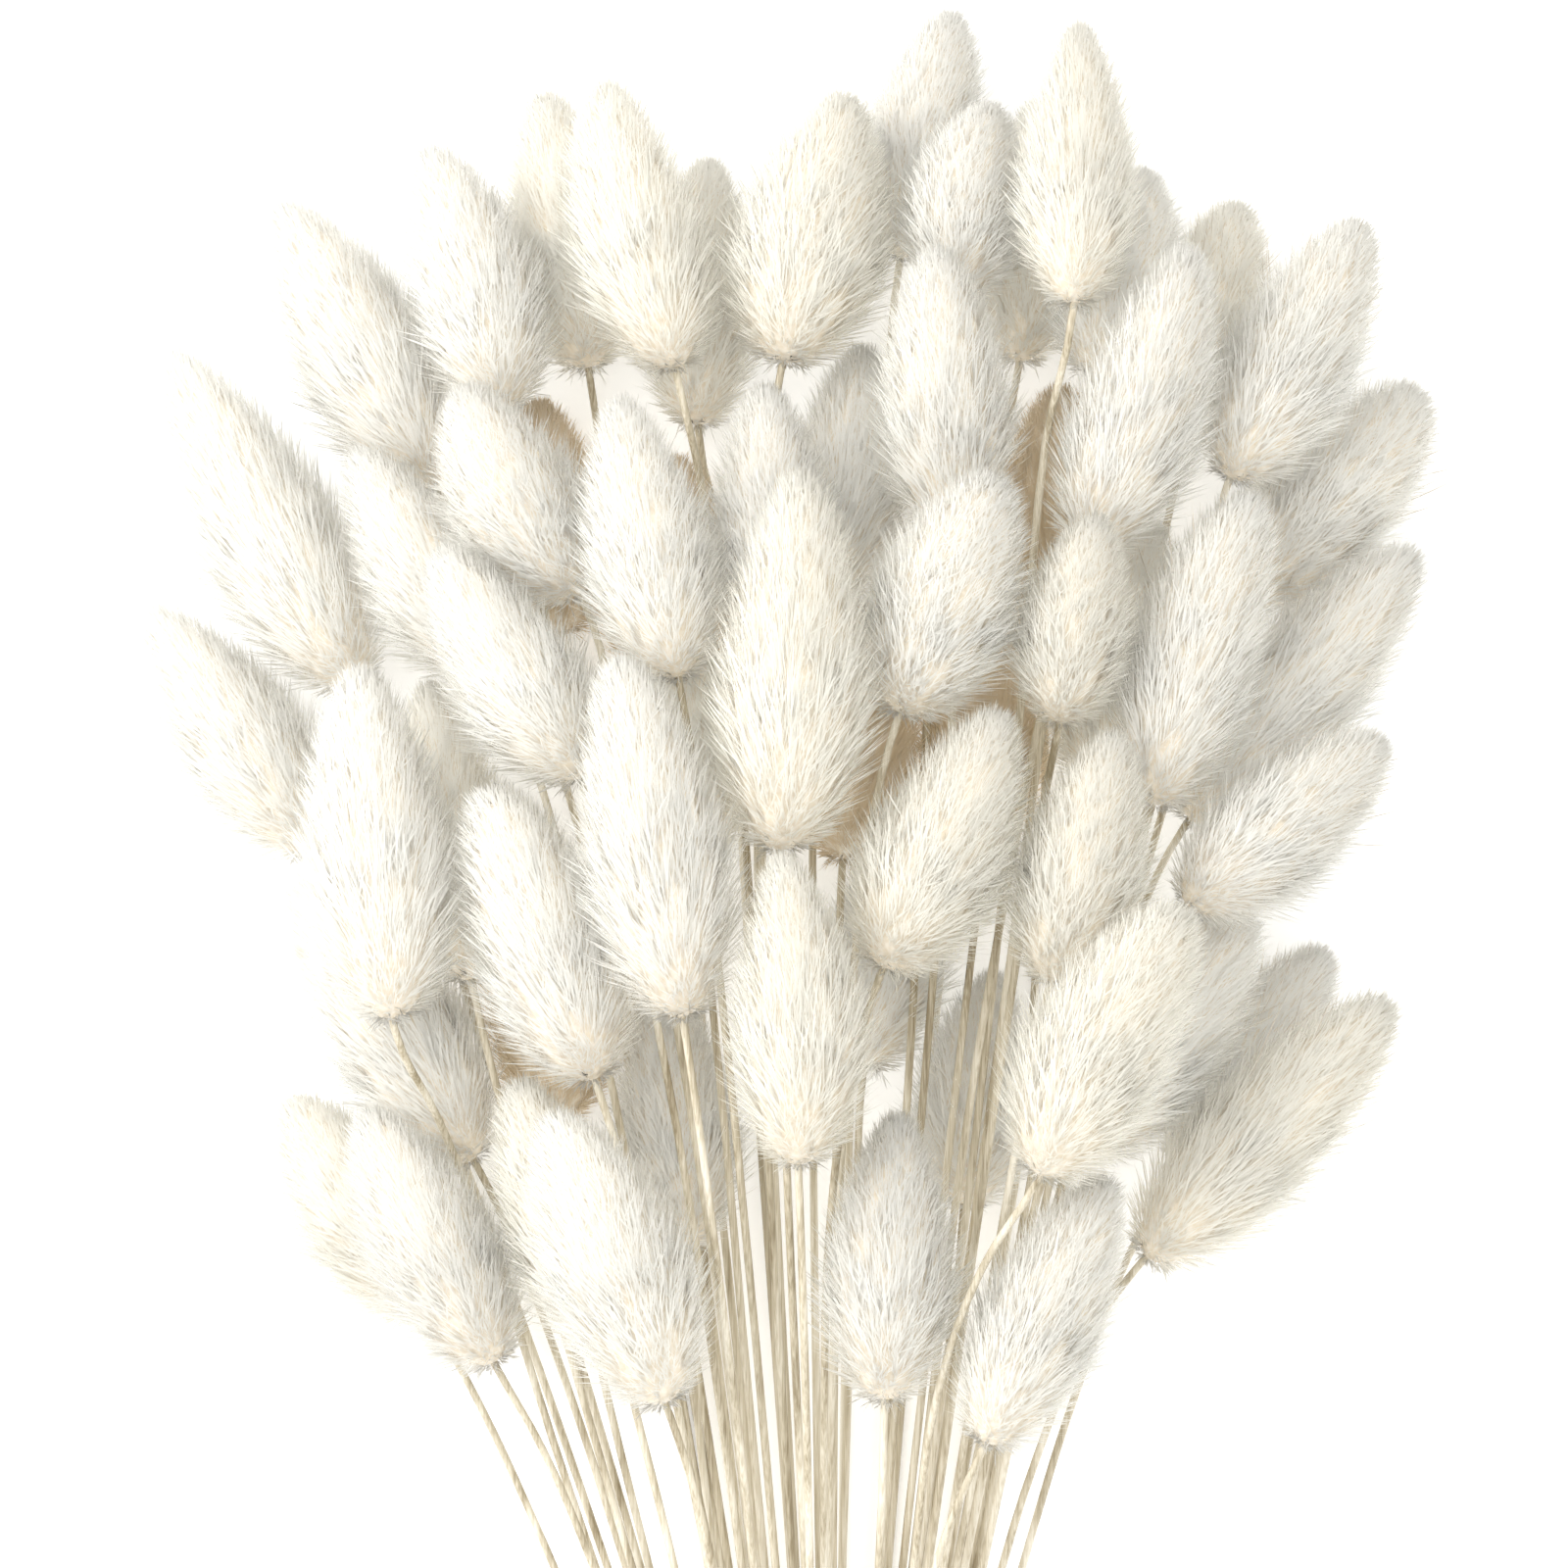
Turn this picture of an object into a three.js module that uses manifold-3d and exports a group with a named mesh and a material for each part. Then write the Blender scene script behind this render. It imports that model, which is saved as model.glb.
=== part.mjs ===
// Dried bunny tail grass: a bunch of bleached, fluffy heads on thin straw stems, bound near its
// foot with twine and lying on a surface. Every tail is one grown piece, its stem and its head.
// Millimetres, +Z up. +Y runs from the cut stems to the heads, and the bunch rests at z = 0.
import * as THREE from "three";
import { mergeVertices } from "three/addons/utils/BufferGeometryUtils.js";
import Module from "manifold-3d";

const wasm = await Module();
wasm.setup();

// The stems: how close they lie where the twine grips them, how far their cut ends run on past it
// and spread there, and how long the bend at the neck is.
const STEM_DIAMETER = 1.35;
const STEM_SIDES = 4;
const STEM_STEPS = 8;
const STEM_PITCH = 1.7;
const FOOT_LENGTH = 68;
const FOOT_VARIES = 0.05;
const FOOT_SPREAD = 1.5;
const STRAIGHT_PAST_TWINE = 2;
const FLARE_SHARE = 0.1;
const FLARE_SPREAD = 0.6;
const NECK_LENGTH = 34;
const SUNK_IN_HEAD = 5;

// The heads: rows of pointed tufts that stand out of a slimmer core and lean to the tip. The core
// and the tufts' tips start, end and are widest at these shares of a head's length.
const TUFT_COLUMNS = 6;
const TUFT_ROWS = 6;
const TUFT_LENGTH = 8;
const TUFT_VARIES = 0.1;
const CORE_SHARE = 0.6;
const CORE_START = 0.03;
const CORE_END = 0.92;
const TUFTS_END = 0.98;
const WIDEST = 0.4;
const BASE_REACH = 0.44;
const TIP_REACH = 0.61;
const HEAD_RISE = 2;

// The twine: turns side by side round all the stems, each turn a rib of a ring.
const TWINE_DIAMETER = 2.2;
const TWINE_TURNS = 5;
const TWINE_SEGMENTS = 18;
const TWINE_RIB_SIDES = 3;
const GAP = 0.3;

// How the tails are laid: how flat the surface presses a head, how far apart stems and heads keep,
// how much heavier a head is than a stem, how little a push slides a tail along the bunch and
// aside, how evenly a stem passes a push on, and how strongly a head goes back to its own place.
const PRESSED = 2;
const STEM_CLEARANCE = 0.35;
const HEAD_CLEARANCE = 0.5;
const HEAD_WEIGHT = 5;
const SLIDING = 0.3;
const YIELDING = 0.35;
const STEM_STIFFNESS = 0.25;
const HEAD_RETURN = 0.03;
const LAYING_PASSES = 420;
const EASED_SHARE = 0.8;

const BLEACHED_GRASS = new THREE.MeshStandardMaterial({ color: "#f1ead9", roughness: 0.95 });
const JUTE = new THREE.MeshStandardMaterial({ color: "#a98a5c", roughness: 0.9 });

// Each head, from the ones that lie on the surface to the uppermost: the x and y of its tip, the x
// and y of its base, measured from the tie, its width, and the height of its middle.
const HEADS = [
  [-21, 344, -23, 299, 20, 8],
  [29, 355, 26, 310, 20, 8],
  [79, 214, 53, 178, 21, 8],
  [98, 304, 70, 266, 24, 9],
  [65, 337, 56, 296, 22, 9],
  [-48, 353, -40, 304, 22, 9],
  [-110, 311, -79, 254, 25, 10],
  [-112, 270, -84, 229, 22, 9],
  [-88, 190, -65, 153, 21, 8],
  [-66, 258, -57, 204, 21, 20],
  [-30, 208, -26, 162, 21, 9],
  [24, 210, 22, 170, 21, 9],
  [-28, 294, -27, 250, 20, 10],
  [22, 367, 14, 325, 20, 11],
  [38, 306, 36, 262, 21, 12],
  [13, 235, 8, 192, 21, 13],
  [26, 273, 25, 230, 20, 13],
  [-50, 232, -46, 184, 21, 13],
  [-89, 336, -61, 288, 24, 12],
  [-46, 306, -40, 264, 21, 13],
  [-66, 345, -54, 298, 22, 14],
  [5, 313, -1, 269, 21, 14],
  [50, 286, 43, 240, 21, 14],
  [-20, 275, -20, 228, 21, 15],
  [5, 270, 3, 226, 20, 18],
  [72, 219, 45, 176, 24, 17],
  [-89, 223, -60, 175, 24, 17],
  [31, 350, 25, 315, 20, 17],
  [94, 282, 57, 235, 24, 18],
  [85, 333, 62, 290, 22, 18],
  [-38, 355, -25, 307, 22, 20],
  [1, 353, -13, 306, 26, 20],
  [53, 340, 46, 304, 20, 21],
  [-77, 296, -53, 256, 22, 23],
  [-73, 190, -49, 148, 22, 21],
  [88, 249, 53, 222, 21, 28],
  [-73, 260, -66, 201, 24, 26],
  [90, 206, 48, 164, 22, 28],
  [39, 364, 40, 316, 19, 27],
  [-61, 306, -39, 271, 22, 28],
  [18, 329, 21, 278, 22, 30],
  [-54, 191, -38, 144, 21, 34],
  [-12, 306, -18, 258, 21, 32],
  [54, 329, 37, 276, 22, 34],
  [-65, 278, -42, 238, 22, 37],
  [-37, 302, -26, 256, 22, 36],
  [42, 285, 36, 250, 19, 37],
  [-57, 242, -39, 191, 24, 39],
  [68, 287, 53, 232, 22, 37],
  [26, 291, 9, 250, 24, 44],
  [30, 252, 10, 209, 24, 47],
  [-4, 291, -7, 228, 25, 47],
  [45, 249, 35, 206, 22, 48],
  [10, 187, 9, 139, 22, 43],
  [-46, 187, -27, 139, 24, 47],
  [54, 223, 32, 177, 24, 49],
  [42, 178, 20, 134, 21, 46],
  [-34, 261, -24, 201, 24, 52],
  [-9, 230, -6, 178, 22, 57],
];

// A seeded draw between -1 and 1.
let seed = 20411;
function draw() {
  seed = (seed * 16807) % 2147483647;
  return (2 * seed) / 2147483647 - 1;
}

// The egg-shaped outline of a head, from its base at 0 to its tip at 1, as a share of its radius.
function plumpness(t) {
  const reach = t < WIDEST ? BASE_REACH : TIP_REACH;
  return Math.sqrt(Math.max(0, 1 - ((t - WIDEST) / reach) ** 2));
}

// Places for the stems in the tie, packed like reeds: the innermost ones of a triangular grid.
function slotsInTie(count) {
  const reach = Math.ceil(Math.sqrt(count));
  const slots = [];
  for (let row = -reach; row <= reach; row++)
    for (let column = -reach; column <= reach; column++)
      slots.push({
        x: (column + 0.5 * Math.abs(row % 2)) * STEM_PITCH,
        z: row * STEM_PITCH * Math.sin(Math.PI / 3),
      });
  const out = (slot) => Math.round(1e3 * Math.hypot(slot.x, slot.z));
  slots.sort((a, b) => out(a) - out(b) || a.x - b.x || a.z - b.z);
  return slots.slice(0, count);
}

const slots = slotsInTie(HEADS.length);
const stemsRadius = Math.max(...slots.map((s) => Math.hypot(s.x, s.z))) + STEM_DIAMETER / 2;
const twineWidth = TWINE_TURNS * TWINE_DIAMETER;
const toFlats = Math.cos(Math.PI / TWINE_SEGMENTS);
const twineInner = (stemsRadius + GAP) / toFlats;
const ribMiddle = twineInner + TWINE_DIAMETER / 2;
const ribReach = (TWINE_DIAMETER / 2) * Math.sin(Math.PI / TWINE_RIB_SIDES);
const tieHeight = (ribMiddle + ribReach) * toFlats;

// The stems keep their order through the tie: from left to right as their heads lie, and from
// the lowest to the uppermost among those that lie one over another.
function shareSlots(rows) {
  const columns = [];
  for (const slot of [...slots].sort((a, b) => a.x - b.x || a.z - b.z)) {
    const last = columns.at(-1);
    if (last && slot.x - last[0].x < STEM_PITCH / 4) last.push(slot);
    else columns.push([slot]);
  }
  const waiting = rows.map((row, i) => i);
  waiting.sort((a, b) => rows[a][2] / rows[a][3] - rows[b][2] / rows[b][3]);
  const shared = [];
  for (const column of columns) {
    const group = waiting.splice(0, column.length);
    group.sort((a, b) => rows[a][5] / rows[a][3] - rows[b][5] / rows[b][3]);
    column.sort((a, b) => a.z - b.z).forEach((slot, i) => (shared[group[i]] = slot));
  }
  return shared;
}

// One tail as it first lies: points down its stem from the cut end to the head's base, then the
// head's tip. The stem leaves the tie along it and bends at the neck into the head.
function layTail([tipX, tipY, baseX, baseY, width, height], slot) {
  const tip = new THREE.Vector3(tipX, tipY, height + HEAD_RISE / 2);
  const base = new THREE.Vector3(baseX, baseY, height - HEAD_RISE / 2);
  const along = tip.clone().sub(base).normalize();
  const across = new THREE.Vector3(slot.x, 0, slot.z);
  const tie = new THREE.Vector3(0, 0, tieHeight).add(across);
  const grip = new THREE.Vector3(0, twineWidth / 2 + STRAIGHT_PAST_TWINE, 0);
  const foot = new THREE.Vector3(0, -FOOT_LENGTH * (1 + FOOT_VARIES * draw()), tieHeight);
  foot.addScaledVector(across, FOOT_SPREAD);
  const start = tie.clone().add(grip);
  const flare = start.clone().addScaledVector(across, FLARE_SPREAD);
  flare.y += FLARE_SHARE * (base.y - start.y);
  const neck = base.clone().addScaledVector(along, -NECK_LENGTH);
  const arc = new THREE.CubicBezierCurve3(start, flare, neck, base);
  const points = [foot, tie.clone().sub(grip), ...arc.getPoints(STEM_STEPS), tip];
  return { radius: width / 2, points, first: points.map((point) => point.clone()), held: 3 };
}

// While the tails are laid, balls of its own width stand for a head, at these shares of its length.
const BALLS = [0.08, 0.25, 0.42, 0.59, 0.76, 0.92];

// The nearest points of two lines' stretches a-b and c-d, as shares of their lengths.
function nearest(a, b, c, d) {
  const u = b.clone().sub(a);
  const v = d.clone().sub(c);
  const w = a.clone().sub(c);
  const uu = u.dot(u);
  const uv = u.dot(v);
  const vv = v.dot(v);
  const share = (value) => THREE.MathUtils.clamp(value, 0, 1);
  const turn = uu * vv - uv * uv;
  const guess = turn > 1e-9 ? share((uv * v.dot(w) - vv * u.dot(w)) / turn) : 0.5;
  const t = share((uv * guess + v.dot(w)) / vv);
  return [share((uv * t - u.dot(w)) / uu), t];
}

// Moves a place on a tail that lies a share of the way from one of its points to the next.
function shift(tail, k, share, by) {
  const spread = (1 - share) ** 2 + share ** 2;
  if (k >= tail.held) tail.points[k].addScaledVector(by, (1 - share) / spread);
  if (k + 1 >= tail.held) tail.points[k + 1].addScaledVector(by, share / spread);
}

// Pushes two places apart until they are as far from each other as they have to be. Each place is
// a tail, the number of one of its points, the share of the way to the next, and a weight.
function keepApart(one, other, apart) {
  const at = ({ tail, k, share }) => tail.points[k].clone().lerp(tail.points[k + 1], share);
  const push = at(one).sub(at(other));
  const distance = push.length();
  if (distance >= apart || distance < 1e-6) return;
  push.multiplyScalar((apart - distance) / distance / (one.weight + other.weight));
  push.y *= SLIDING;
  push.x *= YIELDING;
  shift(one.tail, one.k, one.share, push.clone().multiplyScalar(other.weight));
  shift(other.tail, other.k, other.share, push.multiplyScalar(-one.weight));
}

const baseOf = (tail) => tail.points.length - 2;

function partStems(a, b) {
  for (let i = a.held - 1; i < baseOf(a); i++)
    for (let j = b.held - 1; j < baseOf(b); j++) {
      const ends = [a.points[i], a.points[i + 1], b.points[j], b.points[j + 1]];
      if (ends[1].y < ends[2].y || ends[3].y < ends[0].y) continue;
      const [s, t] = nearest(...ends);
      const one = { tail: a, k: i, share: s, weight: 1 };
      const other = { tail: b, k: j, share: t, weight: 1 };
      keepApart(one, other, STEM_DIAMETER + STEM_CLEARANCE);
    }
}

function partHeadAndStem(head, stem) {
  const base = baseOf(head);
  for (const ball of BALLS) {
    const radius = head.radius * plumpness(ball);
    const centre = head.points[base].clone().lerp(head.points[base + 1], ball);
    const apart = radius + STEM_DIAMETER / 2 + STEM_CLEARANCE;
    for (let k = stem.held - 1; k < baseOf(stem); k++) {
      const line = new THREE.Line3(stem.points[k], stem.points[k + 1]);
      if (centre.y < line.start.y - apart || centre.y > line.end.y + apart) continue;
      const share = line.closestPointToPointParameter(centre, true);
      const one = { tail: head, k: base, share: ball, weight: HEAD_WEIGHT };
      keepApart(one, { tail: stem, k, share, weight: 1 }, apart);
    }
  }
}

function partHeads(a, b) {
  for (const s of BALLS)
    for (const t of BALLS) {
      const apart = a.radius * plumpness(s) + b.radius * plumpness(t) + HEAD_CLEARANCE;
      const one = { tail: a, k: baseOf(a), share: s, weight: 1 };
      keepApart(one, { tail: b, k: baseOf(b), share: t, weight: 1 }, apart);
    }
}

// Bends a stem evenly from where it first lay, draws its head back to its place, and keeps both
// on the surface.
function straighten(tail, easing) {
  const { points, first, held, radius } = tail;
  const base = baseOf(tail);
  const movedAt = (k) => points[k].clone().sub(first[k]);
  for (let k = held; k < points.length; k++) {
    const moved = movedAt(k);
    if (k < base) {
      const even = movedAt(k - 1).lerp(movedAt(k + 1), 0.5);
      moved.lerp(even, STEM_STIFFNESS * easing);
    } else moved.multiplyScalar(1 - HEAD_RETURN * easing);
    points[k].copy(first[k]).add(moved);
    points[k].z = Math.max(points[k].z, STEM_DIAMETER);
  }
  for (const ball of BALLS) {
    const height = THREE.MathUtils.lerp(points[base].z, points[base + 1].z, ball);
    const short = radius * plumpness(ball) - PRESSED - height;
    if (short > 0) shift(tail, base, ball, new THREE.Vector3(0, 0, short));
  }
}

// Lays the tails together. The last passes only push, so that nothing is drawn back too near.
function settle(tails) {
  for (let pass = 0; pass < LAYING_PASSES; pass++) {
    tails.forEach((a, i) => {
      for (const b of tails.slice(i + 1)) {
        partHeads(a, b);
        partHeadAndStem(a, b);
        partHeadAndStem(b, a);
        partStems(a, b);
      }
    });
    const easing = Math.max(0, 1 - pass / (EASED_SHARE * LAYING_PASSES));
    for (const tail of tails) straighten(tail, easing);
  }
}

// A line through points, straight between them, with one ring of the stem at each point.
class StemLine extends THREE.Curve {
  constructor(points) {
    super();
    this.points = points;
  }
  getPoint(t, target = new THREE.Vector3()) {
    const steps = this.points.length - 1;
    const k = Math.min(Math.floor(t * steps + 1e-9), steps - 1);
    return target.lerpVectors(this.points[k], this.points[k + 1], t * steps - k);
  }
  getUtoTmapping(u) {
    return u;
  }
}

function solidOf(geometry) {
  const bare = geometry.clone();
  bare.deleteAttribute("normal");
  bare.deleteAttribute("uv");
  const merged = mergeVertices(bare, 1e-4);
  return new wasm.Manifold(
    new wasm.Mesh({
      numProp: 3,
      vertProperties: new Float32Array(merged.attributes.position.array),
      triVerts: new Uint32Array(merged.index.array),
    }),
  );
}

function geometryOf(solid) {
  const mesh = solid.getMesh();
  const geometry = new THREE.BufferGeometry();
  geometry.setAttribute("position", new THREE.BufferAttribute(mesh.vertProperties, 3));
  geometry.setIndex(new THREE.BufferAttribute(mesh.triVerts, 1));
  return geometry;
}

function stemGeometry(points, tip) {
  const section = new THREE.Shape();
  for (let side = 0; side < STEM_SIDES; side++) {
    const turn = (2 * Math.PI * side) / STEM_SIDES;
    const corner = new THREE.Vector2(STEM_DIAMETER / 2, 0).rotateAround(new THREE.Vector2(), turn);
    if (side) section.lineTo(corner.x, corner.y);
    else section.moveTo(corner.x, corner.y);
  }
  const base = points.at(-1);
  const sunk = base.clone().addScaledVector(tip.clone().sub(base).normalize(), SUNK_IN_HEAD);
  const line = new StemLine([...points, sunk]);
  const steps = line.points.length - 1;
  return new THREE.ExtrudeGeometry(section, { steps, extrudePath: line, bevelEnabled: false });
}

// The head's surface: rings of low points, each turned half a step from the last, and a pointed
// tuft raised from the middle of every four-cornered cell between them, with its tip ahead of the
// cell on the head's egg-shaped outline.
function headGeometry(base, tip, radius) {
  const length = tip.distanceTo(base);
  const along = tip.clone().sub(base).normalize();
  const side = new THREE.Vector3(0, 0, 1).cross(along).normalize();
  const up = along.clone().cross(side);
  const turned = Math.PI * draw();
  const corners = [];
  const faces = [];
  // Adds a corner: a share of the way along, turned round the head and out from its middle line.
  const corner = (t, turn, out) => {
    const at = base.clone().addScaledVector(along, t * length);
    at.addScaledVector(side, Math.cos(turned + turn) * out);
    corners.push(at.addScaledVector(up, Math.sin(turned + turn) * out));
    return corners.length - 1;
  };
  const step = (2 * Math.PI) / TUFT_COLUMNS;
  const shareOf = (ring) => CORE_START + ((CORE_END - CORE_START) * ring) / (TUFT_ROWS + 1);
  const turnOf = (ring, column) => step * (column + 0.5 * (ring % 2));
  const rings = [];
  for (let ring = 0; ring <= TUFT_ROWS + 1; ring++) {
    const out = radius * CORE_SHARE * plumpness(shareOf(ring));
    const places = [];
    for (let column = 0; column < TUFT_COLUMNS; column++)
      places.push(corner(shareOf(ring), turnOf(ring, column), out));
    rings.push((column) => places[(column + TUFT_COLUMNS) % TUFT_COLUMNS]);
  }
  const foot = corner(0, 0, 0);
  const crown = corner(1, 0, 0);
  const last = TUFT_ROWS + 1;
  for (let column = 0; column < TUFT_COLUMNS; column++) {
    const between = column + (last % 2);
    faces.push([foot, rings[0](column + 1), rings[0](column)]);
    faces.push([rings[0](column), rings[0](column + 1), rings[1](column)]);
    faces.push([rings[last](column + 1), rings[last](column), rings[last - 1](between)]);
    faces.push([crown, rings[last](column), rings[last](column + 1)]);
  }
  for (let row = 1; row <= TUFT_ROWS; row++)
    for (let column = 0; column < TUFT_COLUMNS; column++) {
      const behind = column + (row % 2);
      const ahead = TUFT_LENGTH * (1 + TUFT_VARIES * draw()) / length;
      const share = Math.min(shareOf(row) + ahead, TUFTS_END);
      const out = radius * plumpness(share) * (1 - TUFT_VARIES * Math.abs(draw()));
      const tuft = corner(share, turnOf(row, column) + 0.5 * step, out);
      const cell = [
        rings[row - 1](behind),
        rings[row](column + 1),
        rings[row + 1](behind),
        rings[row](column),
      ];
      cell.forEach((low, i) => faces.push([low, cell[(i + 1) % 4], tuft]));
    }
  const geometry = new THREE.BufferGeometry();
  const numbers = corners.flatMap((c) => c.toArray());
  geometry.setAttribute("position", new THREE.Float32BufferAttribute(numbers, 3));
  geometry.setIndex(faces.flat());
  return geometry;
}

// The twine's turns as one ribbed ring, a little clear of the stems inside it. It is turned so that
// each rib has a flat at the bottom, which lies on the surface.
function tieGeometry() {
  const half = TWINE_DIAMETER / 2;
  const profile = [new THREE.Vector2(twineInner, -twineWidth / 2)];
  profile.push(new THREE.Vector2(ribMiddle, -twineWidth / 2));
  for (let turn = 0; turn < TWINE_TURNS; turn++)
    for (let point = 1; point <= TWINE_RIB_SIDES; point++) {
      const angle = (Math.PI * point) / TWINE_RIB_SIDES;
      const y = (turn + 0.5) * TWINE_DIAMETER - twineWidth / 2 - half * Math.cos(angle);
      profile.push(new THREE.Vector2(ribMiddle + half * Math.sin(angle), y));
    }
  profile.push(new THREE.Vector2(twineInner, twineWidth / 2), profile[0]);
  const ring = new THREE.LatheGeometry(profile, TWINE_SEGMENTS);
  return ring.rotateY(Math.PI / TWINE_SEGMENTS);
}

const bunch = new THREE.Group();

const shared = shareSlots(HEADS);
const tails = HEADS.map((row, i) => layTail(row, shared[i]));
settle(tails);

// A head that lies on the surface is pressed flat where it touches it.
const surface = solidOf(new THREE.BoxGeometry(1000, 1000, 100).translate(0, 0, -50));
tails.forEach(({ points, radius }, i) => {
  const stem = points.slice(0, -1);
  const head = headGeometry(stem.at(-1), points.at(-1), radius);
  const whole = solidOf(head).add(solidOf(stemGeometry(stem, points.at(-1))));
  const tail = new THREE.Mesh(geometryOf(whole.subtract(surface)), BLEACHED_GRASS);
  tail.name = "tail_" + String(i + 1).padStart(2, "0");
  bunch.add(tail);
});

const tie = new THREE.Mesh(tieGeometry(), JUTE);
tie.name = "tie";
tie.position.z = tieHeight;
bunch.add(tie);

// The origin is below the middle of the whole bunch, on the surface.
const middle = new THREE.Box3().setFromObject(bunch).getCenter(new THREE.Vector3());
bunch.position.set(-middle.x, -middle.y, 0);

export default bunch;
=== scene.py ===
import math
import random

import bmesh
import bpy
from mathutils import Matrix, Vector


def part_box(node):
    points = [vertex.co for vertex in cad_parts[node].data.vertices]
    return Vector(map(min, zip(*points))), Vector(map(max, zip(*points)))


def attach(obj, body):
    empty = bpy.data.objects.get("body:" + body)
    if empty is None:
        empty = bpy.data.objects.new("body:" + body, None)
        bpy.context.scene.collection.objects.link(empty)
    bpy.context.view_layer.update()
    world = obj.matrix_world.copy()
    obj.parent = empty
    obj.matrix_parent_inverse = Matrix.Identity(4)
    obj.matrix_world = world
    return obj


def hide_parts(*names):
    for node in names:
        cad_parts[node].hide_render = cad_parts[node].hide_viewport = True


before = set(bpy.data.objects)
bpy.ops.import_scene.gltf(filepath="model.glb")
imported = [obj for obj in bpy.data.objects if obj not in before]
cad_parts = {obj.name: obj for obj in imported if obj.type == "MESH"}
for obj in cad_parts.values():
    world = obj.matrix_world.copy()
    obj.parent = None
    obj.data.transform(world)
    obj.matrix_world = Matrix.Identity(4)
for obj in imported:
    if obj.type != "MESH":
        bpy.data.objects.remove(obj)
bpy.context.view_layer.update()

# The tails. Each is one grown piece of bleached bunny tail grass, a straw stem that carries one
# soft, egg-shaped head. Its middle line is read from its own node: the stem as the middles of its
# rings, then the head's base, its tip and its radius.
MM = 0.001
RING_GAP = 8 * MM
RING_SIDES = 4


def middle_of(points):
    return sum(points, Vector()) / len(points)


def read_tail(node):
    """A tail's middle line and its head's radius, from the corners of its node."""
    corners = {tuple(round(c, 6) for c in v.co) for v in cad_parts[node].data.vertices}
    corners = [Vector(c) for c in sorted(corners, key=lambda c: c[1])]
    groups = [[corners[0]]]
    for corner in corners[1:]:
        if corner.y - groups[-1][-1].y > RING_GAP:
            groups.append([])
        groups[-1].append(corner)
    head = groups.pop()
    rings = [middle_of(group) for group in groups]
    head.sort(key=lambda c: (c - rings[-1]).length)
    base = middle_of(head[:RING_SIDES])
    tip = max(head, key=lambda c: (c - base).length)
    along = (tip - base).normalized()
    radius = max((c - base - along * along.dot(c - base)).length for c in head)
    return {"name": node, "rings": rings, "base": base, "tip": tip, "radius": radius}


tails = [read_tail(node) for node in sorted(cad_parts) if node.startswith("tail_")]


# The stems, dry hollow straw about 1.4 mm thick, cut across at the foot and grown into the head at
# the top. Bleaching leaves the straw pale, with fibres along it that show as darker streaks.
STEM_DIAMETER = 1.45 * MM
STEM_TAPER = 0.85
STEM_SIDES = 8
STEM_SMOOTH = 4
STEM_SUNK = 6 * MM
STEM_WALL = 0.3 * MM
STEM_HOLLOW = 3 * MM
CAP_FACING = 0.9


def linear(code):
    """An sRGB hex colour in linear light."""
    shares = [int(code[i : i + 2], 16) / 255 for i in (0, 2, 4)]
    return (*[s / 12.92 if s <= 0.04045 else ((s + 0.055) / 1.055) ** 2.4 for s in shares], 1)


def add(tree, kind, inputs, **settings):
    """A new node with its settings. Each input is a value or the output that it's linked to."""
    made = tree.nodes.new(kind)
    for name, value in settings.items():
        setattr(made, name, value)
    for name, value in inputs.items():
        if isinstance(value, bpy.types.NodeSocket):
            tree.links.new(value, made.inputs[name])
        else:
            made.inputs[name].default_value = value
    return made


def bare_material(name):
    """A new material that has no nodes yet, and its node tree."""
    made = bpy.data.materials.new(name)
    made.use_nodes = True
    made.node_tree.nodes.clear()
    return made, made.node_tree


def ramp(tree, factor, stops):
    """Colours that change along a factor: (place, hex colour) from first to last."""
    made = add(tree, "ShaderNodeValToRGB", {"Fac": factor})
    colours = made.color_ramp.elements
    while len(colours) < len(stops):
        colours.new(0.5)
    for element, (place, code) in zip(colours, stops):
        element.position = place
        element.color = linear(code)
    return made.outputs["Color"]


def straw_material():
    """Dry bleached straw: satin, with fibres along the stem, and some stems darker than others.

    Real fibres are finer than these, which are about 0.3 mm apart so that they show.
    """
    made, tree = bare_material("bleached_straw")
    place = add(tree, "ShaderNodeTexCoord", {}).outputs["Object"]
    fine = (3.3 / MM, 0.05 / MM, 3.3 / MM)
    along = add(tree, "ShaderNodeMapping", {"Vector": place, "Scale": fine})
    fibres = add(tree, "ShaderNodeTexNoise", {"Vector": along.outputs[0], "Scale": 1, "Detail": 2})
    broad = (0.35 / MM, 0.005 / MM, 0.35 / MM)
    apart = add(tree, "ShaderNodeMapping", {"Vector": place, "Scale": broad})
    stems = add(tree, "ShaderNodeTexNoise", {"Vector": apart.outputs[0], "Scale": 1, "Detail": 0})
    both = add(tree, "ShaderNodeMath", {0: fibres.outputs[0], 1: stems.outputs[0]})
    half = add(tree, "ShaderNodeMath", {0: both.outputs[0], 1: 0.5}, operation="MULTIPLY")
    colour = ramp(tree, half.outputs[0], [(0.32, "84765a"), (0.5, "bfb49c"), (0.66, "e0d9c8")])
    ridges = {"Height": fibres.outputs[0], "Distance": 0.1 * MM, "Strength": 0.5}
    bump = add(tree, "ShaderNodeBump", ridges)
    surface = add(
        tree,
        "ShaderNodeBsdfPrincipled",
        {"Base Color": colour, "Roughness": 0.45, "IOR": 1.5, "Normal": bump.outputs[0]},
    )
    add(tree, "ShaderNodeOutputMaterial", {"Surface": surface.outputs[0]})
    return made


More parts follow.
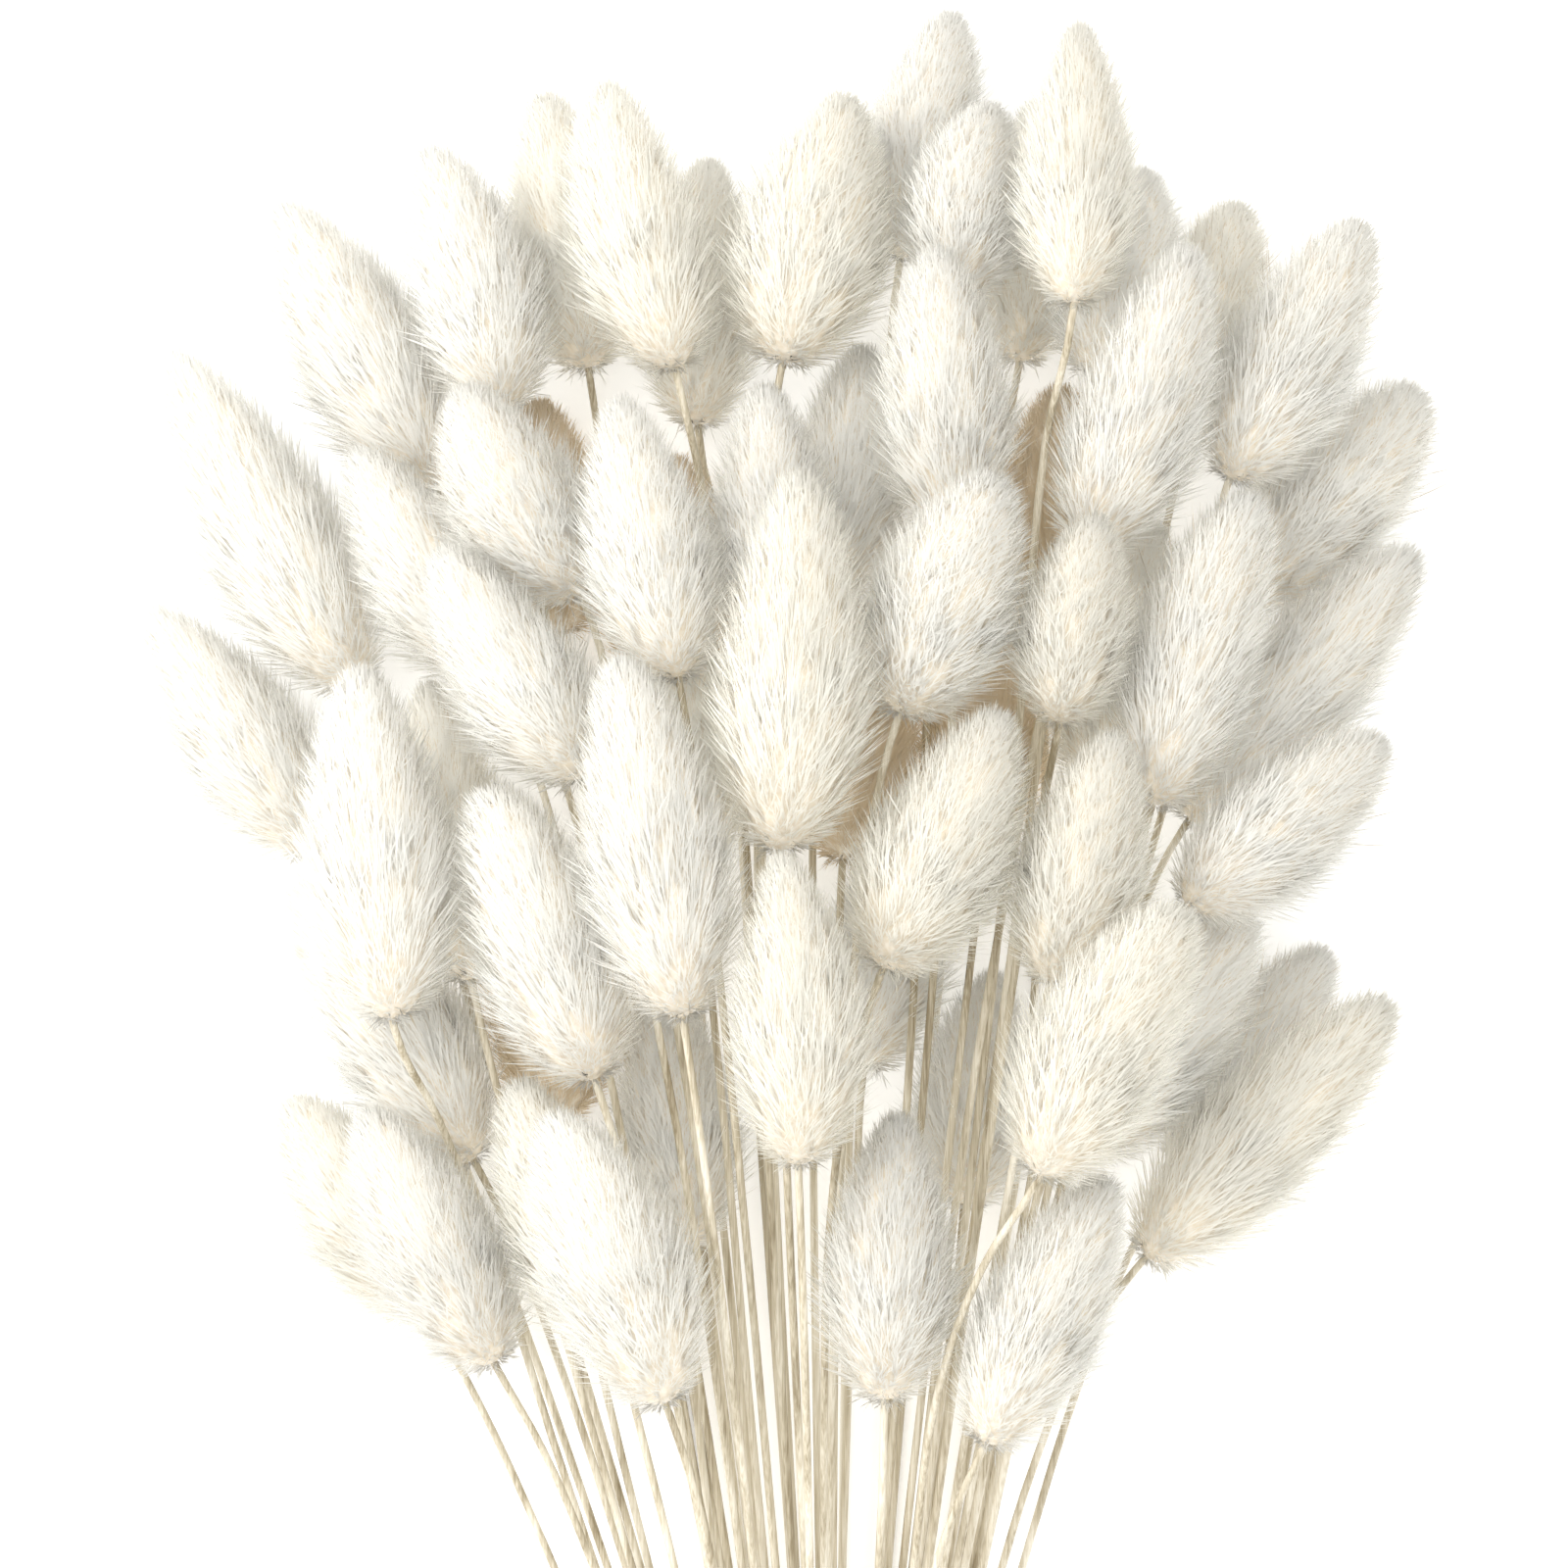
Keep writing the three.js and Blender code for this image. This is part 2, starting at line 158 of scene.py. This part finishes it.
def tube(name, points, radii, sides, steps, material):
    """A smooth closed tube through points, as a mesh."""
    curve = bpy.data.curves.new(name, "CURVE")
    curve.dimensions = "3D"
    curve.bevel_depth = 1
    curve.bevel_resolution = sides // 2 - 2
    curve.resolution_u = steps
    curve.use_fill_caps = True
    line = curve.splines.new("BEZIER")
    line.bezier_points.add(len(points) - 1)
    for knot, point, radius in zip(line.bezier_points, points, radii):
        knot.co = point
        knot.radius = radius
        knot.handle_left_type = knot.handle_right_type = "AUTO"
    carrier = bpy.data.objects.new(name, curve)
    mesh = bpy.data.meshes.new_from_object(carrier)
    bpy.data.objects.remove(carrier)
    bpy.data.curves.remove(curve)
    bm = bmesh.new()
    bm.from_mesh(mesh)
    bmesh.ops.remove_doubles(bm, verts=bm.verts, dist=1e-6)
    bm.to_mesh(mesh)
    bm.free()
    mesh.materials.clear()
    mesh.materials.append(material)
    mesh.shade_smooth()
    return mesh


def open_cut_end(mesh, way):
    """Hollows the end of a stem that faces a direction."""
    bm = bmesh.new()
    bm.from_mesh(mesh)
    cap = [face for face in bm.faces if face.normal.dot(way) > CAP_FACING]
    end = bmesh.ops.dissolve_faces(bm, faces=cap)["region"]
    bmesh.ops.inset_region(bm, faces=end, thickness=STEM_WALL)
    bmesh.ops.inset_region(bm, faces=end, thickness=0, depth=-STEM_HOLLOW)
    bm.to_mesh(mesh)
    bm.free()


def lay_on_table(verts, lowest=0):
    """Presses flat what would reach below a height over the table."""
    for vert in verts:
        vert.co.z = max(vert.co.z, lowest)


def show(name, mesh, slot, *nodes):
    """Puts a finished mesh in the scene as a piece that stands for CAD nodes."""
    mesh.name = name
    piece = bpy.data.objects.new(name, mesh)
    bpy.context.scene.collection.objects.link(piece)
    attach(piece, "root")
    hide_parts(*nodes)


straw = straw_material()
for tail in tails:
    along = (tail["tip"] - tail["base"]).normalized()
    points = [*tail["rings"], tail["base"], tail["base"] + along * STEM_SUNK]
    thin = [1 + (STEM_TAPER - 1) * k / (len(points) - 1) for k in range(len(points))]
    radii = [STEM_DIAMETER / 2 * share for share in thin]
    mesh = tube("stem", points, radii, STEM_SIDES, STEM_SMOOTH, straw)
    open_cut_end(mesh, (points[0] - points[1]).normalized())
    lay_on_table(mesh.vertices)
    show(tail["name"].replace("tail", "stem"), mesh, "bleached_grass", tail["name"])


# The heads, dense spikes of small grass flowers whose glumes are drawn out into soft white hair. A
# head is a pale core hidden under thousands of hairs, set in small tufts that lean to the tip. A
# few heads are modelled whole, then laid over each node with a turn and a shape of their own.
HEAD_RADIUS = 10.5 * MM
KINDS_A_LENGTH = 3
HEAD_LENGTHS = [43 * MM] * KINDS_A_LENGTH + [54 * MM] * KINDS_A_LENGTH
WIDEST = 0.42
EGG_BELOW, EGG_ABOVE = 0.42, 0.6
CORE_RADIUS = HEAD_RADIUS * 0.76
CORE_BELOW, CORE_ABOVE = 0.4, 0.52
CORE_SIDES, CORE_RINGS = 20, 14
ROOT_RADIUS = CORE_RADIUS * 0.95
GOLDEN_ANGLE = math.pi * (3 - math.sqrt(5))
TURN_JITTER = 0.2
LEAN_JITTER = 0.12
AHEAD_JITTER = (0.7, 1.3)
UPRIGHT_BELOW = 0.5
HIGHEST_END = 0.99

# Hairs, tufts of them, single bristles and wisps, with how far ahead their ends lie and between
# which shares of the head's radius. Real hairs are several times finer. These are wide enough for
# some thousands of them to fill a head.
HAIR_LENGTH = 8 * MM
HAIR_WIDTH = 0.23 * MM
FULLEST = 0.62
LENGTH_JITTER = (0.75, 1.1)
WIDTH_JITTER = (0.8, 1.2)
TUFTS = 540
HAIRS_A_TUFT = 10
KINDS_OF_TUFT = 8
TUFT_SPREAD = 0.9 * MM
TUFT_FAN = 12
TUFT_LIFT = 6
TUFT_TWIST = 0.5
TUFT_AHEAD = 0.32
TUFT_REACH = (0.98, 1.14)
BRISTLES = 1400
BRISTLE_WIDTH = 0.24 * MM
BRISTLE_TWIST = 0.6
BRISTLE_AHEAD = 0.24
BRISTLE_REACH = (1.1, 1.46)
WISPS = 40
WISP_WIDTH = 0.24 * MM
WISP_AHEAD = 0.5
WISP_REACH = (1.4, 2.1)
WISPS_FROM = 0.1
GLUMES_INDEX, AWN_INDEX = 1, 2


def on_egg(height, turn, length, radius, below, above):
    """A place on an egg up +Z: its height from -1 at the base to 1 at the tip, and its turn."""
    out = radius * math.sqrt(max(0, 1 - height * height))
    share = WIDEST + height * (below if height < 0 else above)
    return Vector((out * math.cos(turn), out * math.sin(turn), share * length))


def hair_material(name, root, tip):
    """Bleached plant hair: matt, pale, and thin enough that light passes through it."""
    made, tree = bare_material(name)
    lengthwise = add(tree, "ShaderNodeUVMap", {}, uv_map="UVMap").outputs[0]
    root_to_tip = add(tree, "ShaderNodeSeparateXYZ", {0: lengthwise}).outputs["Y"]
    colour = ramp(tree, root_to_tip, [(0.05, root), (0.4, tip)])
    surface = add(tree, "ShaderNodeBsdfDiffuse", {"Color": colour})
    through = add(tree, "ShaderNodeBsdfTranslucent", {"Color": colour})
    mixed = add(tree, "ShaderNodeMixShader", {0: 0.5, 1: surface.outputs[0], 2: through.outputs[0]})
    add(tree, "ShaderNodeOutputMaterial", {"Surface": mixed.outputs[0]})
    return made


def glumes_material():
    """The glumes under the hair: matt, with straw-coloured flecks about 1 mm apart."""
    made, tree = bare_material("bleached_glumes")
    place = add(tree, "ShaderNodeTexCoord", {}).outputs["Object"]
    flecks = add(tree, "ShaderNodeTexNoise", {"Vector": place, "Scale": 1 / MM, "Detail": 1})
    colour = ramp(tree, flecks.outputs[0], [(0.35, "ecdfc8"), (0.65, "f7efe1")])
    surface = add(tree, "ShaderNodeBsdfDiffuse", {"Color": colour})
    add(tree, "ShaderNodeOutputMaterial", {"Surface": surface.outputs[0]})
    return made


def hair_mesh():
    """An empty bmesh whose UV map runs along the hairs, from 0 at the root to 1 at the tip."""
    bm = bmesh.new()
    bm.loops.layers.uv.new("UVMap")
    return bm


def add_hair(bm, length, width):
    """One flat hair up +Z from the origin, fullest past its middle and pointed at both ends."""
    made = bmesh.ops.create_grid(bm, x_segments=1, y_segments=1, size=0.5)
    lengthwise = bm.loops.layers.uv.active
    for vert in made["verts"]:
        x, y, _ = vert.co
        share = FULLEST if x * y < 0 else 0.5 + (x + y) / 2
        vert.co = Vector((0, (x - y) / 2 * width, share * length))
        for loop in vert.link_loops:
            loop[lengthwise].uv = (0, share)
    return made["verts"]


def mesh_from(bm, name):
    mesh = bpy.data.meshes.new(name)
    bm.to_mesh(mesh)
    bm.free()
    return mesh


def make_tuft(draw):
    """A small tuft of hairs that spread a little from their roots."""
    bm = hair_mesh()
    for _ in range(HAIRS_A_TUFT):
        length = HAIR_LENGTH * draw.uniform(*LENGTH_JITTER)
        hair = add_hair(bm, length, HAIR_WIDTH * draw.uniform(*WIDTH_JITTER))
        root = [draw.uniform(-TUFT_SPREAD, TUFT_SPREAD) for _ in range(2)]
        place = Matrix.Translation((0, *root))
        place @= Matrix.Rotation(math.radians(draw.gauss(0, TUFT_FAN)), 4, "X")
        place @= Matrix.Rotation(math.radians(draw.gauss(0, TUFT_LIFT)), 4, "Y")
        place @= Matrix.Rotation(draw.uniform(-TUFT_TWIST, TUFT_TWIST), 4, "Z")
        bmesh.ops.transform(bm, matrix=place, verts=hair)
    return mesh_from(bm, "tuft")


def make_bristle(draw, width):
    """One long, single hair."""
    bm = hair_mesh()
    hair = add_hair(bm, HAIR_LENGTH, width)
    twist = Matrix.Rotation(draw.uniform(-BRISTLE_TWIST, BRISTLE_TWIST), 3, "Z")
    bmesh.ops.rotate(bm, verts=hair, matrix=twist)
    return mesh_from(bm, "bristle")


def plant(bm, hairs, root, end, turn):
    """Sets a copy of some hairs from a root to an end, with their backs to the head's axis."""
    ahead = (end - root).normalized()
    across = ahead.cross(Vector((math.cos(turn), math.sin(turn), 0))).normalized()
    basis = Matrix((across.cross(ahead), across, ahead)).transposed().to_4x4()
    stretch = Matrix.Scale((end - root).length / HAIR_LENGTH, 4, (0, 0, 1))
    hairs = hairs.copy()
    hairs.transform(Matrix.Translation(root) @ basis @ stretch)
    bm.from_mesh(hairs)
    bpy.data.meshes.remove(hairs)


def cover(bm, draw, kinds, count, length, forward, reach, lowest=-1):
    """Plants hairs in a spiral over a head, with their ends between two shares of its radius."""
    for k in range(count):
        height = lowest + (1 - lowest) * (k + 0.5) / count
        turn = k * GOLDEN_ANGLE + draw.uniform(-TURN_JITTER, TURN_JITTER)
        root = on_egg(height, turn, length, ROOT_RADIUS, CORE_BELOW, CORE_ABOVE)
        ahead = forward * draw.uniform(*AHEAD_JITTER) * (1 - height)
        ahead *= min(1, (1 + height) / UPRIGHT_BELOW)
        far = HEAD_RADIUS * draw.uniform(*reach)
        lean = turn + draw.gauss(0, LEAN_JITTER)
        end = on_egg(min(height + ahead, HIGHEST_END), lean, length, far, EGG_BELOW, EGG_ABOVE)
        plant(bm, draw.choice(kinds), root, end, turn)


def way_out(place, length):
    """The way straight out of a head's egg-shaped outline at a place on it."""
    share = place.z / length - WIDEST
    reach = EGG_BELOW if share < 0 else EGG_ABOVE
    return Vector((place.x, place.y, share * HEAD_RADIUS**2 / (reach**2 * length))).normalized()


def make_head(draw, length, wisps):
    """A whole head up +Z from its base: the core, tufts all over it, bristles, and some wisps."""
    bm = hair_mesh()
    core = bmesh.ops.create_uvsphere(
        bm, u_segments=CORE_SIDES, v_segments=CORE_RINGS, radius=1, calc_uvs=True
    )
    for vert in core["verts"]:
        x, y, height = vert.co
        turn = math.atan2(y, x)
        vert.co = on_egg(height, turn, length, CORE_RADIUS, CORE_BELOW, CORE_ABOVE)
    for face in bm.faces:
        face.material_index = GLUMES_INDEX
    cover(bm, draw, tufts, TUFTS, length, TUFT_AHEAD, TUFT_REACH)
    cover(bm, draw, bristles, BRISTLES, length, BRISTLE_AHEAD, BRISTLE_REACH)
    if wisps:
        whole = len(bm.faces)
        cover(bm, draw, long_bristles, WISPS, length, WISP_AHEAD, WISP_REACH, WISPS_FROM)
        bm.faces.ensure_lookup_table()
        for face in bm.faces[whole:]:
            face.material_index = AWN_INDEX
    mesh = mesh_from(bm, "head")
    mesh.shade_smooth()
    # Real hairs are so fine that light falls on them as on one soft surface, so each of these
    # faces the light as the head does there.
    mesh.normals_split_custom_set_from_vertices([way_out(vert.co, length) for vert in mesh.vertices])
    return mesh


draw = random.Random(7)
tufts = [make_tuft(draw) for _ in range(KINDS_OF_TUFT)]
bristles = [make_bristle(draw, BRISTLE_WIDTH) for _ in range(KINDS_OF_TUFT)]
long_bristles = [make_bristle(draw, WISP_WIDTH) for _ in range(KINDS_OF_TUFT)]
heads = [make_head(draw, length, False) for length in HEAD_LENGTHS]
wispy_head = make_head(draw, HEAD_LENGTHS[-1], True)
hairs = [
    hair_material("white_hair", "f8efdf", "fdfcf7"),
    hair_material("cream_hair", "f8ecd8", "fdfbf3"),
    hair_material("pale_hair", "f7ede0", "fbfaf5"),
]
glumes = glumes_material()
dry_awn = hair_material("dry_awn", "f6efe2", "dcd3c6")
# Tan hair for the heads deep in the bunch: painted shade between the heads in front.
painted_shade_hair = hair_material("painted_shade_tan_hair", "dcc49a", "eddcc0")

# The heads that stand out at the right of the fan still have their long awns. Those that lie
# deep in the bunch get tan hair as painted shade between the heads in front. No two grow alike.
WISPY_PAST = 74 * MM
DEEP_IN_PAINTED_SHADE = ("tail_13", "tail_15", "tail_17", "tail_18", "tail_20", "tail_25")
HEAD_LIFT = 0.1 * MM
LEAST_TAPER, MOST_TAPER = 0.15, 0.6
MOST_BEND = 7 * MM


def grow_apart(mesh, length, taper, bend):
    """Slims a head towards its tip and bends it to one side."""
    for vert in mesh.vertices:
        share = vert.co.z / length
        slim = 1 - taper * max(0, share - WIDEST)
        vert.co.x = vert.co.x * slim + bend * share * (1 - share)
        vert.co.y *= slim


for k, tail in enumerate(tails):
    axis = tail["tip"] - tail["base"]
    by_length = sorted(range(len(heads)), key=lambda i: abs(HEAD_LENGTHS[i] - axis.length))
    kind = by_length[k % KINDS_A_LENGTH]
    head, length = heads[kind], HEAD_LENGTHS[kind]
    if tail["tip"].x > WISPY_PAST:
        head, length = wispy_head, HEAD_LENGTHS[-1]
    thick = tail["radius"] / HEAD_RADIUS
    size = Matrix.Diagonal((thick, thick, axis.length / length, 1))
    turned = axis.to_track_quat("Z", "Y").to_matrix().to_4x4()
    spun = Matrix.Rotation(draw.uniform(0, 2 * math.pi), 4, "Z")
    mesh = head.copy()
    taper = draw.uniform(LEAST_TAPER, MOST_TAPER)
    grow_apart(mesh, length, taper, draw.uniform(-MOST_BEND, MOST_BEND))
    mesh.transform(Matrix.Translation(tail["base"]) @ turned @ spun @ size)
    lay_on_table(mesh.vertices, HEAD_LIFT)
    # The heads deep in the bunch get the tan hair, painted shade.
    hair = painted_shade_hair if tail["name"] in DEEP_IN_PAINTED_SHADE else draw.choice(hairs)
    for material in (hair, glumes, dry_awn):
        mesh.materials.append(material)
    show(tail["name"].replace("tail", "head"), mesh, "bleached_grass", tail["name"])


# The tie: jute twine wound side by side round the stems, with both ends tucked under the turns.
# The twine is three plies of coarse brown bast fibre twisted together, and loose fibres stand out
# of it.
TWINE_DIAMETER = 2.2 * MM
TWINE_TURNS = 5
PLIES = 3
PLY_RADIUS = 0.58 * MM
PLY_TWIST = 7 * MM
PLY_SIDES = 8
PLY_SMOOTH = 2
TURN_STEPS = 48
TUCKED = 0.1
TUCK_DEPTH = 0.7 * MM
TUCK_SLIMS = 0.5
FIBRES = 700
FIBRE_LENGTH = 2.4 * MM
FIBRE_LENGTH_JITTER = (0.5, 1.3)
FIBRE_WIDTH = 0.07 * MM
FIBRE_OUT = (0.25, 0.6)
FIBRE_SWAY = 0.7
FIBRE_ROOT = 0.4
ROOT_SPREAD = 0.8


def jute_material():
    """Raw jute: matt golden brown, with light and dark strands about 0.4 mm apart."""
    made, tree = bare_material("jute")
    place = add(tree, "ShaderNodeTexCoord", {}).outputs["Object"]
    strands = add(tree, "ShaderNodeTexNoise", {"Vector": place, "Scale": 2.6 / MM, "Detail": 3})
    colour = ramp(tree, strands.outputs[0], [(0.3, "7a5c34"), (0.5, "b3905c"), (0.7, "d8bd8c")])
    bump = add(tree, "ShaderNodeBump", {"Height": strands.outputs[0], "Distance": 0.15 * MM})
    surface = add(
        tree,
        "ShaderNodeBsdfPrincipled",
        {"Base Color": colour, "Roughness": 0.85, "Normal": bump.outputs[0]},
    )
    add(tree, "ShaderNodeOutputMaterial", {"Surface": surface.outputs[0]})
    return made


def twine_place(turns):
    """The twine's middle line after some turns, the way out from the stems, and its thickness."""
    low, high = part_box("tie")
    centre = (low + high) / 2
    tucked = max(0, 1 - turns / TUCKED, 1 - (TWINE_TURNS - turns) / TUCKED)
    radius = (high.z - low.z - TWINE_DIAMETER) / 2 - tucked * TUCK_DEPTH
    out = Vector((math.cos(2 * math.pi * turns), 0, math.sin(2 * math.pi * turns)))
    inward = tucked * (1 if turns < 1 else -1)
    along = (turns - TWINE_TURNS / 2 + 0.5 * inward) * (TWINE_TURNS - 1) / TWINE_TURNS
    place = centre + out * radius + Vector((0, along * TWINE_DIAMETER, 0))
    return place, out, 1 - TUCK_SLIMS * tucked


def make_twine(material):
    """The wound twine: its plies, twisted round its middle line, and the loose fibres."""
    bm = bmesh.new()
    places = [twine_place(k / TURN_STEPS) for k in range(TWINE_TURNS * TURN_STEPS + 1)]
    for ply in range(PLIES):
        points, radii, wound = [], [], 0
        for k, (at, out, thick) in enumerate(places):
            wound += (at - places[max(0, k - 1)][0]).length
            twist = 2 * math.pi * (wound / PLY_TWIST + ply / PLIES)
            off = (TWINE_DIAMETER / 2 - PLY_RADIUS) * thick
            points.append(at + off * (out * math.cos(twist) + Vector((0, math.sin(twist), 0))))
            radii.append(PLY_RADIUS * thick)
        strand = tube("ply", points, radii, PLY_SIDES, PLY_SMOOTH, material)
        bm.from_mesh(strand)
        bpy.data.meshes.remove(strand)
    for _ in range(FIBRES):
        at, out, _ = draw.choice(places)
        fibre = bmesh.ops.create_grid(bm, x_segments=1, y_segments=1, size=0.5)["verts"]
        length = FIBRE_LENGTH * draw.uniform(*FIBRE_LENGTH_JITTER)
        for vert in fibre:
            side, share = vert.co.x, vert.co.y + 0.5
            vert.co = Vector((side * (1 - share) * FIBRE_WIDTH, 0, share * length))
        way = out * draw.uniform(*FIBRE_OUT) + out.cross((0, draw.choice((-1, 1)), 0))
        way.y += draw.uniform(-FIBRE_SWAY, FIBRE_SWAY)
        turned = way.to_track_quat("Z", "Y").to_matrix().to_4x4()
        across = draw.uniform(-ROOT_SPREAD, ROOT_SPREAD) * MM
        root = at + out * TWINE_DIAMETER * FIBRE_ROOT + Vector((0, across, 0))
        bmesh.ops.transform(bm, matrix=Matrix.Translation(root) @ turned, verts=fibre)
        bmesh.ops.remove_doubles(bm, verts=fibre, dist=1e-7)
    lay_on_table(bm.verts)
    mesh = mesh_from(bm, "twine")
    mesh.shade_smooth()
    mesh.materials.append(material)
    return mesh


show("twine", make_twine(jute_material()), "jute_twine", "tie")


# A plain white studio table, matt, and bright enough to stay white between the heads. The light is
# soft and even from all round, with a window at the upper left and a weaker lamp overhead.
FLOOR_REACH = 2
FLOOR_GLOW = 0.2
ROUND_LIGHT = 1.4


def stage_floor():
    """The table top. It only stages the bunch, and isn't a piece of it."""
    bm = bmesh.new()
    bmesh.ops.create_grid(bm, x_segments=1, y_segments=1, size=FLOOR_REACH)
    mesh = mesh_from(bm, "floor")
    made, tree = bare_material("white_table")
    white = linear("ffffff")
    glow = {"Emission Color": white, "Emission Strength": FLOOR_GLOW}
    surface = add(tree, "ShaderNodeBsdfPrincipled", {"Base Color": white, "Roughness": 1, **glow})
    add(tree, "ShaderNodeOutputMaterial", {"Surface": surface.outputs[0]})
    mesh.materials.append(made)
    floor = bpy.data.objects.new("floor", mesh)
    bpy.context.scene.collection.objects.link(floor)


def add_light(name, colour, power, size, place):
    """A soft square light that faces the middle of the bunch."""
    light = bpy.data.lights.new(name, "AREA")
    light.color = linear(colour)[:3]
    light.energy = power
    light.size = size
    lamp = bpy.data.objects.new(name, light)
    lamp.location = place
    lamp.rotation_euler = Vector(place).to_track_quat("Z", "Y").to_euler()
    bpy.context.scene.collection.objects.link(lamp)


stage_floor()
world = bpy.data.worlds.new("studio")
world.use_nodes = True
world.node_tree.nodes["Background"].inputs["Color"].default_value = linear("fffefa")
world.node_tree.nodes["Background"].inputs["Strength"].default_value = ROUND_LIGHT
world.cycles.sampling_method = "NONE"
bpy.context.scene.world = world
add_light("window", "fffdfa", 3.4, 0.6, (-0.45, 0.36, 0.36))
add_light("overhead", "ffffff", 0.8, 0.5, (-0.25, 0.05, 0.5))

# The camera looks straight down on the fan of heads, as the photograph looks at it. A gamma over 1
# lightens the shade between the heads.
VIEW_WIDTH = 256 * MM
VIEW_DISTANCE = 1.6
VIEW_HEIGHT = 30 * MM
FROM_TIE = Vector((-8 * MM, 240 * MM, 0))

tie_low, tie_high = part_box("tie")
middle = (tie_low + tie_high) / 2 + FROM_TIE
camera = bpy.data.cameras.new("camera")
camera.sensor_width = 36
camera.lens = camera.sensor_width * VIEW_DISTANCE / VIEW_WIDTH
eye = bpy.data.objects.new("camera", camera)
eye.location = (middle.x, middle.y, VIEW_HEIGHT + VIEW_DISTANCE)
bpy.context.scene.collection.objects.link(eye)
bpy.context.scene.camera = eye
view = bpy.context.scene.view_settings
view.view_transform = "Standard"
view.gamma = 1.15

# Light bounces three times at most, the last times as an even glow, to keep the render short.
bounces = bpy.context.scene.cycles
bounces.max_bounces = 3
bounces.use_fast_gi = True
bounces.ao_bounces_render = 2
world.light_settings.distance = 2 * MM
